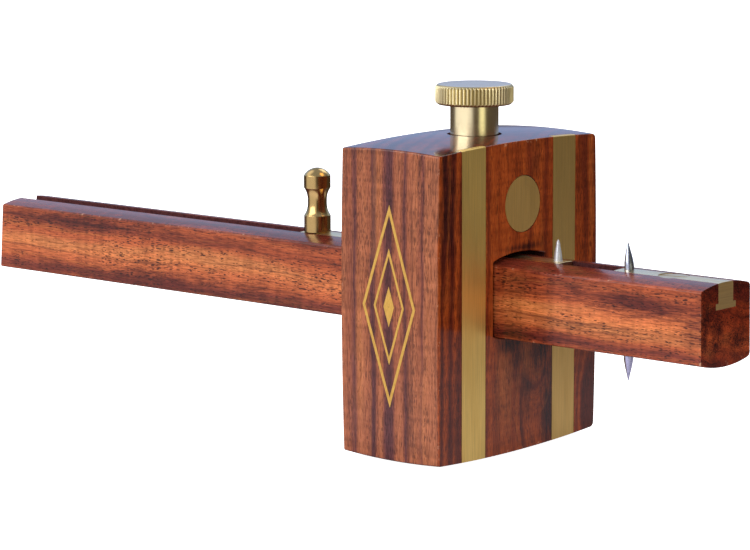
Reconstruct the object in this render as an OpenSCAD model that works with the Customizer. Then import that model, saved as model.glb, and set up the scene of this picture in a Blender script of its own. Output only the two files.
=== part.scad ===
// Mortise and marking gauge: a rosewood stock that slides on a rosewood stem and is locked by a
// brass thumbscrew. Millimetres. X = 0 is the fence face, the X axis is the stem's centre line,
// +X points to the pins and +Z to the thumbscrew.

/* [Stock] */
// Thickness of the stock along the stem
stock_t = 29.5; // [26:0.5:34]
// Width of the stock at mid height
stock_w = 61.5; // [52:0.5:70]
// Height of the stock at its crown
stock_h = 75.8; // [72:0.2:84]
// Radius of the top and bottom, seen from the fence
barrel_r = 450; // [300:10:800]
// Radius of the top and bottom, seen from the side
crown_r = 180; // [120:10:400]
// Radius of the slightly bulging sides
side_r = 1000; // [700:50:2000]

/* [Wear strips] */
// Width of each brass strip
strip_w = 9; // [6:0.5:9.5]
// Thickness of each brass strip
strip_t = 1.5; // [1:0.1:3]
// Distance from the stock's middle to a strip's centre line
strip_y = 17.4; // [16:0.2:20]

/* [Stem] */
// Length of the stem
stem_l = 228.6; // [200:0.2:260]
// Width of the stem
stem_w = 19; // [18:0.5:20]
// Height of the stem over its domed top and bottom
stem_h = 19.5; // [19:0.1:20]
// Radius of the domes
dome_r = 36; // [30:1:60]
// How far the pin end stands out from the fence
reach = 58.5; // [55:0.5:70]
// Side clearance of the stem in the mortise
mortise_side_gap = 0.5; // [0.1:0.1:1]
// Clearance between the stem's crown and the roof of the mortise
mortise_roof_gap = 1.1; // [0.4:0.1:1.5]

/* [Brass T bar] */
// Width of the bar's web
web_w = 5.6; // [5:0.2:6.8]
// Width of the bar's foot
foot_w = 7.6; // [7.2:0.2:9]
// Height of the bar's foot
foot_h = 1.4; // [1:0.1:2]
// Overall height of the bar
bar_h = 6.1; // [5:0.1:7]
// Length of the sliding bar
slide_l = 81; // [75:1:82]
// Where the sliding bar ends, measured from the fence
slide_end = 13.6; // [12.6:0.2:14.6]
// Length of the fixed insert
insert_l = 29; // [26:1:32]

/* [Pins] */
// Diameter of the fixed pin and of the marking pin
pin_d = 2.3; // [1.6:0.1:2.4]
// Diameter of the sliding pin
movable_pin_d = 2.1; // [1.5:0.1:2.2]
// How far the fixed pin and the marking pin stand out
pin_out = 6.7; // [4:0.1:8]
// How far the sliding pin stands out
movable_pin_out = 5.1; // [4:0.1:6]
// Distance from the stem's end to the fixed pin and the marking pin
pin_from_end = 26.5; // [24:0.5:26.5]
// Distance from the sliding bar's end to its pin
pin_from_slide_end = 2.2; // [1.6:0.2:3]

/* [Pull knob] */
// Diameter of the knob's head and base
knob_d = 6.7; // [5:0.1:7]
// Diameter of the knob's waist
knob_waist_d = 4.8; // [3.6:0.1:5]
// Height of the knob above the bar
knob_h = 16.2; // [14:0.2:18]

/* [Thumbscrew] */
// Diameter over the knurl
head_d = 18.8; // [16:0.2:22]
// Height of the knurled head
head_h = 4.8; // [3.6:0.2:6]
// Number of knurl teeth
knurl_n = 64; // [48:2:84]
// Depth of the knurl
knurl_depth = 0.35; // [0.2:0.05:0.5]
// Diameter of the plain collar
collar_d = 11.6; // [10:0.2:12]
// Gap between the head and the crown of the stock
head_gap = 7.2; // [5:0.2:12]
// Diameter of the screw's hole in the stock
screw_hole_d = 13.1; // [12.5:0.1:14]
// Outer diameter of the thread
thread_d = 8; // [7:0.5:8]
// Pitch of the thread
thread_pitch = 1.25; // [1:0.25:1.5]
// Sideways place of the screw, the nut and the shoe
screw_y = 1.2; // [0:0.2:2]

/* [Nut and shoe] */
// Diameter of the barrel nut
nut_d = 13.7; // [13.2:0.1:14]
// Length of the barrel nut
nut_l = 25; // [22:1:26]
// Height of the nut's axis above the stem's axis
nut_z = 22.2; // [21.8:0.2:26]
// Diameter of the pressure shoe
shoe_d = 12.4; // [11:0.1:12.4]
// Thickness of the pressure shoe at the stem's crown
shoe_h = 2.6; // [2.2:0.1:2.6]

/* [Insert screw] */
// Diameter of the screw's head
wood_screw_head_d = 7.2; // [5:0.1:7.4]
// Diameter of the screw's shank
wood_screw_d = 3.5; // [2.5:0.1:3.6]
// Length of the screw
wood_screw_l = 13; // [9:1:14]
// Distance from the stem's end to the screw
wood_screw_from_end = 14; // [12:0.5:16]

/* [Hidden] */
$fn = 96;

fine = 720;              // facets of the very large arcs
run = 0.05;              // running clearance, per side
shoe_gap = 0.1;          // between the clamped shoe and the stem's dome
big = 200;               // longer than anything it cuts

screw_x = -stock_t / 2;
pin_x = reach - pin_from_end;
movable_pin_x = slide_end - pin_from_slide_end;
wood_screw_x = reach - wood_screw_from_end;
wood_screw_slot = 15;    // angle of the slot from the stem's length
tail_x = slide_end - slide_l;
knob_x = tail_x + knob_d / 2 + 0.1;
stem_top = stem_h / 2;
bar_top = stem_top - run;
bar_bottom = bar_top - bar_h;
wood_screw_top = bar_top - 0.2;
head_bottom = stock_h / 2 + head_gap - 0.1;
shoe_bottom = stem_top + shoe_gap;
shoe_top = shoe_bottom + shoe_h;
collar_bottom = nut_z + nut_d / 2 + 1;

brass = [0.80, 0.66, 0.32];
bright_brass = [0.86, 0.74, 0.42];
stock_wood = [0.42, 0.16, 0.08];
stem_wood = [0.66, 0.32, 0.16];
steel = [0.72, 0.74, 0.78];

// Extrudes a drawing in the YZ plane from x0 to x1.
module along_x(x0, x1) {
    translate([x0, 0, 0])
        rotate([90, 0, 90])
            linear_extrude(x1 - x0) children();
}

// Turns a profile of radius and height about the vertical at x, y.
module turned(x, y, z) {
    translate([x, y, z])
        rotate_extrude() children();
}

// A width between two facing domes: the stem's section, and the mortise's.
module domed_section(w, top, bottom) {
    intersection() {
        square([w, big], center = true);
        translate([0, top - dome_r]) circle(dome_r, $fn = 360);
        translate([0, bottom + dome_r]) circle(dome_r, $fn = 360);
    }
}

// The bar's inverted T. The same drawing, grown by a gap and open at the top, is the groove.
module tee(gap, top) {
    bottom = bar_bottom - gap;
    translate([-web_w / 2 - gap, bottom])
        square([web_w + 2 * gap, top - bottom]);
    translate([-foot_w / 2 - gap, bottom])
        square([foot_w + 2 * gap, foot_h + 2 * gap]);
}

// A length of T bar, its top domed flush with the stem.
module tee_bar(x0, x1) {
    along_x(x0, x1)
        intersection() {
            tee(0, stem_top + 1);
            domed_section(stem_w, bar_top, -bar_top);
        }
}

// One barrel-shaped face of the stock: side is 1 for the top and -1 for the bottom.
module barrel(side) {
    translate([-stock_t / 2, 0, side * (stock_h / 2 - barrel_r)])
        rotate([0, 90, 0])
            rotate_extrude($fn = fine)
                intersection() {
                    translate([0, -stock_t])
                        square([barrel_r + 1, 2 * stock_t]);
                    union() {
                        translate([0, -crown_r / 2])
                            square([barrel_r - crown_r / 2, crown_r]);
                        translate([barrel_r - crown_r, 0])
                            circle(crown_r, $fn = fine);
                    }
                }
}

// The stock's outside, before anything is cut from it.
module stock_block() {
    intersection() {
        along_x(-stock_t, 0)
            intersection() {
                square([stock_w + 1, stock_h + 2], center = true);
                translate([stock_w / 2 - side_r, 0]) circle(side_r, $fn = fine);
                translate([side_r - stock_w / 2, 0]) circle(side_r, $fn = fine);
            }
        barrel(1);
        barrel(-1);
    }
}

// The room for one wear strip: side is -1 for the near strip and 1 for the far one.
module strip_space(side) {
    translate([-strip_t, side * strip_y - strip_w / 2, -stock_h / 2])
        cube([strip_t, strip_w, stock_h]);
}

module nut_cylinder() {
    translate([-nut_l, screw_y, nut_z])
        rotate([0, 90, 0]) cylinder(h = nut_l, d = nut_d);
}

module stock() {
    color(stock_wood)
        difference() {
            stock_block();
            along_x(-stock_t - 1, 1)
                domed_section(stem_w + 2 * mortise_side_gap, stem_top + mortise_roof_gap,
                              -stem_top - run);
            strip_space(-1);
            strip_space(1);
            nut_cylinder();
            translate([screw_x, screw_y, stem_top - 1])
                cylinder(h = stock_h / 2, d = screw_hole_d);
        }
}

module wear_strip(side) {
    color(brass)
        intersection() {
            stock_block();
            strip_space(side);
        }
}

module near_wear_strip() {
    wear_strip(-1);
}

module far_wear_strip() {
    wear_strip(1);
}

module barrel_nut() {
    color(brass)
        difference() {
            nut_cylinder();
            translate([screw_x, screw_y, nut_z - nut_d])
                cylinder(h = 2 * nut_d, d = thread_d + 2 * run);
        }
}

// The straight-knurled head: a chamfered disc inside a band of teeth.
module knurled_head() {
    chamfer = 0.7;
    tooth = 180 / knurl_n;
    core_r = head_d / 2 - knurl_depth - 0.05;
    rotate_extrude()
        polygon([[0, 0], [core_r - chamfer, 0], [core_r, chamfer],
                 [core_r, head_h - chamfer], [core_r - chamfer, head_h], [0, head_h]]);
    translate([0, 0, chamfer])
        linear_extrude(head_h - 2 * chamfer)
            polygon([for (i = [0 : 2 * knurl_n - 1])
                let (r = head_d / 2 - (i % 2) * knurl_depth)
                [r * cos(i * tooth), r * sin(i * tooth)]]);
}

// A threaded stud as a row of V rings from z0 up to z1.
module thread_rings(d, pitch, depth, z0, z1) {
    rings = floor((z1 - z0) / pitch);
    rotate_extrude()
        polygon(concat(
            [[0, z0]],
            [for (i = [0 : rings - 1], k = [0, 1])
                [d / 2 - (1 - k) * depth, z0 + (i + k / 2) * pitch]],
            [[d / 2 - depth, z0 + rings * pitch], [d / 2 - depth, z1], [0, z1]]));
}

module thumbscrew() {
    tip_r = 2;
    thread_bottom = shoe_top + run;
    color(bright_brass)
        translate([screw_x, screw_y, 0])
            union() {
                translate([0, 0, head_bottom]) knurled_head();
                translate([0, 0, collar_bottom])
                    cylinder(h = head_bottom - collar_bottom, d = collar_d);
                thread_rings(thread_d, thread_pitch, 0.7, thread_bottom, collar_bottom);
                translate([0, 0, shoe_top - 1.3])
                    cylinder(h = thread_bottom - shoe_top + 1.3, r = tip_r);
            }
}

// The brass pad under the screw, hollowed below to sit on the stem's dome.
module pressure_shoe() {
    color(brass)
        difference() {
            translate([screw_x, screw_y, stem_top - 1])
                cylinder(h = shoe_top - stem_top + 1, d = shoe_d);
            translate([screw_x - shoe_d, 0, shoe_bottom - dome_r])
                rotate([0, 90, 0]) cylinder(h = 2 * shoe_d, r = dome_r, $fn = 360);
            translate([screw_x, screw_y, shoe_top - 1.4]) cylinder(h = 2, r = 2.1);
        }
}

module wood_screw_body() {
    head_r = wood_screw_head_d / 2;
    shank_r = wood_screw_d / 2;
    turned(wood_screw_x, 0, wood_screw_top)
        polygon([[0, 0], [head_r, 0], [shank_r, shank_r - head_r], [shank_r, 2 - wood_screw_l],
                 [0, -wood_screw_l]]);
}

// The countersunk hole, open above the head.
module screw_seat() {
    wood_screw_body();
    translate([wood_screw_x, 0, wood_screw_top]) cylinder(h = 1, d = wood_screw_head_d);
}

module stem() {
    color(stem_wood)
        difference() {
            along_x(reach - stem_l, reach)
                difference() {
                    domed_section(stem_w, stem_top, -stem_top);
                    tee(run, stem_top + 1);
                }
            translate([pin_x, 0, -stem_h]) cylinder(h = stem_h - 1, d = pin_d);
            screw_seat();
        }
}

module slide_bar() {
    color(bright_brass)
        difference() {
            tee_bar(tail_x, slide_end);
            translate([movable_pin_x, 0, 0]) cylinder(h = stem_h, d = movable_pin_d);
            translate([knob_x, 0, bar_bottom]) cylinder(h = stem_h, d = 3);
        }
}

module end_insert() {
    color(brass)
        difference() {
            tee_bar(reach - insert_l, reach);
            translate([pin_x, 0, 0]) cylinder(h = stem_h, d = pin_d);
            screw_seat();
        }
}

module insert_screw() {
    color(brass)
        difference() {
            wood_screw_body();
            translate([wood_screw_x, 0, wood_screw_top])
                rotate(wood_screw_slot) cube([wood_screw_head_d + 1, 0.8, 1.8], center = true);
        }
}

// The turned knob: a plain base, a hollow waist and a domed head, on a stud through the bar.
module pull_knob() {
    r = knob_d / 2;
    waist_r = knob_waist_d / 2;
    base_h = 0.26 * knob_h;
    head_from = 0.69 * knob_h;
    dome_from = 0.88 * knob_h;
    half = (head_from - base_h) / 2;
    dome_h = knob_h - dome_from;
    dome_arc = (r * r + dome_h * dome_h) / (2 * dome_h);
    steps = 12;
    waist = [for (i = [-steps : steps])
        [waist_r + (r - waist_r) * pow(abs(i) / steps, 2.6), base_h + half * (1 + i / steps)]];
    color(brass) {
        turned(knob_x, 0, bar_top)
            intersection() {
                polygon(concat([[0, 0], [r, 0]], waist, [[r, knob_h], [0, knob_h]]));
                union() {
                    square([r, dome_from]);
                    translate([0, knob_h - dome_arc]) circle(dome_arc);
                }
            }
        translate([knob_x, 0, bar_bottom]) cylinder(h = bar_h, d = 3);
    }
}

// A pin with its root inside the work and a tapered point outside. up is 1 or -1.
module pin(x, d, surface, root, out, shoulder, up) {
    r = d / 2;
    color(steel)
        translate([x, 0, up * surface])
            mirror([0, 0, up > 0 ? 0 : 1])
                rotate_extrude()
                    polygon([[0, -root], [r, -root], [r, 0], [shoulder * r, 0.5 * out],
                             [0.35 * r, 0.85 * out], [0.05, out], [0, out]]);
}

module movable_pin() {
    pin(movable_pin_x, movable_pin_d, bar_top, bar_h, movable_pin_out, 0.66, 1);
}

module fixed_pin() {
    pin(pin_x, pin_d, bar_top, bar_h, pin_out, 0.8, 1);
}

module marking_pin() {
    pin(pin_x, pin_d, stem_top, stem_h / 2 - 1, pin_out, 0.72, -1);
}

stock();
near_wear_strip();
far_wear_strip();
barrel_nut();
thumbscrew();
pressure_shoe();
stem();
slide_bar();
pull_knob();
movable_pin();
end_insert();
insert_screw();
fixed_pin();
marking_pin();
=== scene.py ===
"""The looks of the mortise and marking gauge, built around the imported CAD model.

Lengths inside the builders are millimetres; mesh_object turns them into metres.
X runs along the stem to the pins, X = 0 is the fence face, and +Z is up.
"""

import math

import bmesh
import bpy
from mathutils import Euler, Matrix, Vector


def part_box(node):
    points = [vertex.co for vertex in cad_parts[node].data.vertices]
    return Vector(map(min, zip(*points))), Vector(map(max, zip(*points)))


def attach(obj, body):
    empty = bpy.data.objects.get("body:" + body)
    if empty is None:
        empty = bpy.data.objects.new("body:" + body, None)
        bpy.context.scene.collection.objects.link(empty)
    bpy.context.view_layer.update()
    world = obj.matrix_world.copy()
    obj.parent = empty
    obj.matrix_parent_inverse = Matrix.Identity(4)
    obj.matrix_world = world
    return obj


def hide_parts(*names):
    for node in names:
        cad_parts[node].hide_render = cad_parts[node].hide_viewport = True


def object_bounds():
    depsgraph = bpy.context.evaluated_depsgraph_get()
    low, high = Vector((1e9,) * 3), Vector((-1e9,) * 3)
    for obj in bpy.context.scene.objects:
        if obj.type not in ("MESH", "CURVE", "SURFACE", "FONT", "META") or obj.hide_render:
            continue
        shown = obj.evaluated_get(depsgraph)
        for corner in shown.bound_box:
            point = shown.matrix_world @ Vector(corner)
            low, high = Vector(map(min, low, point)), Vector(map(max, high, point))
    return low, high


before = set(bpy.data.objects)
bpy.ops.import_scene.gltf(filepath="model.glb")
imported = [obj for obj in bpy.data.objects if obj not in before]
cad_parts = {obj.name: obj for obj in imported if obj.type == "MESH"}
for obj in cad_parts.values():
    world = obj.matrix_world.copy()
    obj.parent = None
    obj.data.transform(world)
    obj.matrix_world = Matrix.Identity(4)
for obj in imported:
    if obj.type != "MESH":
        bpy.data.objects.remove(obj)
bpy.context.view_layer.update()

MM = 0.001

# -------------------------------- sizes from the frame, in mm


def box_mm(node):
    low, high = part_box(node)
    return low / MM, high / MM


STOCK_LOW = box_mm("stock")[0]
STEM_LOW, STEM_HIGH = box_mm("stem")
BAR_LOW, BAR_HIGH = box_mm("slide_bar")
INSERT_LOW, INSERT_HIGH = box_mm("end_insert")
STRIP_LOW, STRIP_HIGH = box_mm("far_wear_strip")
NUT_LOW, NUT_HIGH = box_mm("barrel_nut")
SHOE_TOP = box_mm("pressure_shoe")[1].z
SCREW_LOW, SCREW_HIGH = box_mm("thumbscrew")
KNOB_LOW, KNOB_HIGH = box_mm("pull_knob")

# The stock: the curves of its top and bottom, across and along, and of its sides; the play of
# the mortise; the seam round the let-in brass; and a height past it all, for cutters
STOCK_T = -STOCK_LOW.x
STOCK_HALF_H = -STOCK_LOW.z
STOCK_HALF_W = 30.75
BARREL_R = 450.0
CROWN_R = 180.0
SIDE_R = 1000.0
MORTISE_SIDE_GAP = 0.5
MORTISE_TOP_GAP = 1.1
HAIRLINE = 0.10
BEYOND = 60

# The stem: its domes; the web and foot of its T bars; how far the ends were sawn out of square;
# the clearance of fitted parts; and the wood screw
STEM_HALF_W = STEM_HIGH.y
STEM_HALF_H = -STEM_LOW.z
DOME_R = 36.0
WEB_HALF_W = 2.8
FOOT_H = 1.4
FAR_END_LEAN = 1.5
PIN_END_SKEW = 0.5
PIN_END_LEAN = 0.25
RUN = 0.05
SHANK_R = 1.75
SLOT_DEGREES = 15.0

# The thumbscrew
SCREW_X = (SCREW_LOW.x + SCREW_HIGH.x) / 2
SCREW_Y = (SCREW_LOW.y + SCREW_HIGH.y) / 2
SCREW_HOLE_R = 6.55
HEAD_R = (SCREW_HIGH.x - SCREW_LOW.x) / 2
HEAD_H = 4.8
KNURL_TEETH = 64
KNURL_DEPTH = 0.42
COLLAR_R = 5.8
COLLAR_BOTTOM = 30.05
THREAD_R = 4.0
THREAD_PITCH = 1.25

# -------------------------------- mesh helpers


def mesh_object(name, verts_mm, faces):
    """A mesh object from points in millimetres."""
    mesh = bpy.data.meshes.new(name)
    mesh.from_pydata([(x * MM, y * MM, z * MM) for x, y, z in verts_mm], [], faces)
    mesh.validate()
    obj = bpy.data.objects.new(name, mesh)
    bpy.context.scene.collection.objects.link(obj)
    return obj


def fillet(points, closed=True, steps=5):
    """A polyline of (u, v, radius) with each corner rounded to its radius."""
    out = []
    count = len(points)
    for i, (u, v, radius) in enumerate(points):
        here = Vector((u, v))
        if radius <= 0 or (not closed and i in (0, count - 1)):
            out.append((u, v))
            continue
        before = Vector(points[i - 1][:2]) - here
        after = Vector(points[(i + 1) % count][:2]) - here
        corner = before.angle(after)
        reach = radius / math.tan(corner / 2)
        reach = min(reach, 0.49 * before.length, 0.49 * after.length)
        radius = reach * math.tan(corner / 2)
        before, after = before.normalized(), after.normalized()
        start, end = here + before * reach, here + after * reach
        centre = here + (before + after).normalized() * (radius / math.sin(corner / 2))
        for k in range(steps + 1):
            t = k / steps
            chord = start.lerp(end, t) - centre
            out.append(tuple(centre + chord.normalized() * radius))
    return out


def arc_points(centre, radius, start, end, count):
    """Points along an arc, both ends among them."""
    turn = [start + (end - start) * k / count for k in range(count + 1)]
    return [(centre[0] + radius * math.cos(t), centre[1] + radius * math.sin(t)) for t in turn]


def inset(outline, distance):
    """A closed outline moved inwards; it runs anticlockwise."""
    out = []
    count = len(outline)
    for i in range(count):
        here = Vector(outline[i])
        before = (here - Vector(outline[i - 1])).normalized()
        after = (Vector(outline[(i + 1) % count]) - here).normalized()
        n1 = Vector((-before.y, before.x))
        n2 = Vector((-after.y, after.x))
        bisector = (n1 + n2).normalized()
        out.append(tuple(here + bisector * (distance / max(bisector.dot(n1), 0.5))))
    return out


def sweep(name, outline, stations, shape=lambda x, y, z: (x, y, z)):
    """Extrudes a (y, z) outline along X. stations are (x, inset) from the +X end to the -X end."""
    verts, faces = [], []
    count = len(outline)
    for x, distance in stations:
        ring = inset(outline, distance) if distance else outline
        verts += [shape(x, y, z) for y, z in ring]
    for s in range(len(stations) - 1):
        for i in range(count):
            j = (i + 1) % count
            a, b = s * count, (s + 1) * count
            faces.append((a + i, b + i, b + j, a + j))
    last = (len(stations) - 1) * count
    faces.append(tuple(range(count)))
    faces.append(tuple(last + i for i in reversed(range(count))))
    return mesh_object(name, verts, faces)


def eased(x_high, x_low, radius, pieces=1, steps=4):
    """Stations for a sweep in so many pieces, its two ends rounded over."""
    turn = [k / steps * math.pi / 2 for k in range(steps + 1)]
    head = [(x_high - radius * (1 - math.cos(t)), radius * (1 - math.sin(t))) for t in turn]
    tail = [(x_low + (x_high - x), d) for x, d in reversed(head)]
    middle = [
        (x_high - radius - (x_high - x_low - 2 * radius) * k / pieces, 0.0)
        for k in range(1, pieces)
    ]
    return head + middle + tail


def lathe(name, profile, at=(0, 0, 0), segments=96, tooth=None):
    """Turns a profile of (radius, height) about the vertical through at.

    tooth(angle) gives a radius that no point of the profile passes, which cuts a knurl.
    """
    verts, faces, rings = [], [], []
    for r, h in profile:
        if r < 1e-6:
            rings.append([len(verts)])
            verts.append((at[0], at[1], at[2] + h))
            continue
        rings.append(range(len(verts), len(verts) + segments))
        for k in range(segments):
            angle = 2 * math.pi * k / segments
            rr = min(r, tooth(angle)) if tooth else r
            verts.append((at[0] + rr * math.cos(angle), at[1] + rr * math.sin(angle), at[2] + h))
    for low, high in zip(rings, rings[1:]):
        for k in range(segments):
            n = (k + 1) % segments
            if len(low) == 1:
                faces.append((low[0], high[n], high[k]))
            elif len(high) == 1:
                faces.append((low[k], low[n], high[0]))
            else:
                faces.append((low[k], low[n], high[n], high[k]))
    return mesh_object(name, verts, faces)


def block(name, low, high):
    """A box from corner to corner, in millimetres, for cutting with."""
    xs, ys, zs = zip(low, high)
    verts = [(x, y, z) for x in xs for y in ys for z in zs]
    faces = [
        (0, 1, 3, 2), (4, 6, 7, 5), (0, 4, 5, 1), (2, 3, 7, 6), (0, 2, 6, 4), (1, 5, 7, 3),
    ]
    return mesh_object(name, verts, faces)


def carve(obj, operation, *tools):
    """Applies exact booleans and removes the tools."""
    for tool in tools:
        modifier = obj.modifiers.new("carve", "BOOLEAN")
        modifier.operation = operation
        modifier.solver = "EXACT"
        modifier.object = tool
    graph = bpy.context.evaluated_depsgraph_get()
    mesh = bpy.data.meshes.new_from_object(obj.evaluated_get(graph))
    obj.modifiers.clear()
    obj.data = mesh
    for tool in tools:
        bpy.data.objects.remove(tool)


def finish_surface(obj, sharp_degrees=32):
    """Smooth shading with crisp edges above an angle, and flat faces kept flat."""
    work = bmesh.new()
    work.from_mesh(obj.data)
    bmesh.ops.remove_doubles(work, verts=work.verts, dist=1e-7)
    bmesh.ops.recalc_face_normals(work, faces=work.faces)
    limit = math.radians(sharp_degrees)
    for face in work.faces:
        face.smooth = True
    for edge in work.edges:
        edge.smooth = len(edge.link_faces) == 2 and edge.calc_face_angle(0) < limit
    work.to_mesh(obj.data)
    work.free()
    obj.modifiers.new("flat faces stay flat", "WEIGHTED_NORMAL").keep_sharp = True


def piece(obj, body, slot, material, *nodes):
    """Gives a finished piece its material and body, and hides the CAD nodes it stands for; slot is
    not used.
    """
    obj.data.materials.clear()
    obj.data.materials.append(material)
    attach(obj, body)
    if nodes:
        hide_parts(*nodes)


def face_look(obj, material, inside):
    """Gives the faces whose middle is inside(x, y, z), in mm, another material."""
    obj.data.materials.append(material)
    for face in obj.data.polygons:
        if inside(*(face.center / MM)):
            face.material_index = 1


# -------------------------------- shader helpers


def toned(colour, factors):
    """A colour with its three parts multiplied."""
    return tuple(part * factor for part, factor in zip(colour, factors))


class Nodes:
    """Short calls for the nodes that the materials and the world here use."""

    def __init__(self, tree):
        self.tree = tree

    def feed(self, socket, value):
        """Gives an input a value, or links another node's output to it."""
        if isinstance(value, bpy.types.NodeSocket):
            self.tree.links.new(value, socket)
        else:
            socket.default_value = value

    def add(self, kind, inputs=None, **settings):
        """A node; inputs maps a socket's name or number to what it is fed."""
        made = self.tree.nodes.new(kind)
        for key, value in settings.items():
            setattr(made, key, value)
        for key, value in (inputs or {}).items():
            self.feed(made.inputs[key], value)
        return made

    def math(self, operation, a, b=0.0):
        return self.add("ShaderNodeMath", {0: a, 1: b}, operation=operation).outputs[0]

    def offset(self, value, middle, factor):
        """How far value is from middle, times factor."""
        return self.math("MULTIPLY", self.math("SUBTRACT", value, middle), factor)

    def vector(self, x, y, z):
        return self.add("ShaderNodeCombineXYZ", {0: x, 1: y, 2: z}).outputs[0]

    def length(self, x, y, z):
        return self.add("ShaderNodeVectorMath", {0: self.vector(x, y, z)},
                        operation="LENGTH").outputs["Value"]

    def stretched(self, place, scales):
        """place with each coordinate multiplied, for long or narrow noise."""
        return self.vector(*[self.math("MULTIPLY", p, s) for p, s in zip(place, scales)])

    def noise(self, vector, scale=1.0, detail=2.0, roughness=0.5):
        inputs = {"Vector": vector, "Scale": scale, "Detail": detail, "Roughness": roughness}
        return self.add("ShaderNodeTexNoise", inputs).outputs["Fac"]

    def spread(self, value, low, high, to_low=0.0, to_high=1.0, kind="LINEAR"):
        """Maps low to to_low and high to to_high, and stops there."""
        inputs = {"Value": value, "From Min": low, "From Max": high, "To Min": to_low,
                  "To Max": to_high}
        return self.add("ShaderNodeMapRange", inputs, interpolation_type=kind).outputs[0]

    def ramp(self, value, stops):
        """Colours along value; each stop is (position, colour)."""
        made = self.add("ShaderNodeValToRGB", {0: value})
        band = made.color_ramp
        while len(band.elements) < len(stops):
            band.elements.new(0.5)
        for element, (at, colour) in zip(band.elements, stops):
            element.position = at
            element.color = (*colour, 1)
        return made.outputs[0]

    def layered(self, depth, layers):
        """A ramp whose stops are given in the unit of depth."""
        low, high = layers[0][0], layers[-1][0]
        return self.ramp(self.spread(depth, low, high),
                         [((at - low) / (high - low), tone) for at, tone in layers])

    def mix(self, factor, a, b, blend="MIX"):
        """Blends two colours, each a socket or a plain (r, g, b)."""
        a, b = ((*tone, 1) if isinstance(tone, tuple) else tone for tone in (a, b))
        return self.add("ShaderNodeMix", {0: factor, 6: a, 7: b},
                        data_type="RGBA", blend_type=blend).outputs[2]


class Shader(Nodes):
    """A new material and its Principled shader."""

    def __init__(self, name):
        self.material = bpy.data.materials.new(name)
        self.material.use_nodes = True
        super().__init__(self.material.node_tree)
        self.surface = self.tree.nodes["Principled BSDF"]

    def place(self):
        """Object coordinates in millimetres, as x, y, z sockets."""
        where = self.add("ShaderNodeTexCoord").outputs["Object"]
        scaled = self.add("ShaderNodeVectorMath", {0: where, "Scale": 1 / MM},
                          operation="SCALE")
        return tuple(self.add("ShaderNodeSeparateXYZ", {0: scaled.outputs[0]}).outputs)

    def bump(self, height, distance_mm, strength):
        inputs = {"Height": height, "Distance": distance_mm * MM, "Strength": strength}
        return self.add("ShaderNodeBump", inputs).outputs[0]

    def set(self, **values):
        """Sets the shader's sockets, with _ for a space, and returns the material."""
        for key, value in values.items():
            self.feed(self.surface.inputs[key.replace("_", " ")], value)
        return self.material


# -------------------------------- materials

DARK = (0.105, 0.018, 0.010)
DUSK = (0.180, 0.030, 0.012)
MID = (0.310, 0.056, 0.013)
WARM = (0.410, 0.083, 0.018)
PALE = (0.520, 0.124, 0.027)
GOLD = (0.640, 0.175, 0.036)
LIGHT_CLOUD = (0.64, 0.235, 0.075)
DARK_LINE = (0.060, 0.013, 0.009)
PALE_LINE = (0.50, 0.165, 0.040)
PORE = (0.022, 0.005, 0.005)
WORN_WOOD = (0.72, 0.42, 0.27)


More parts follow.
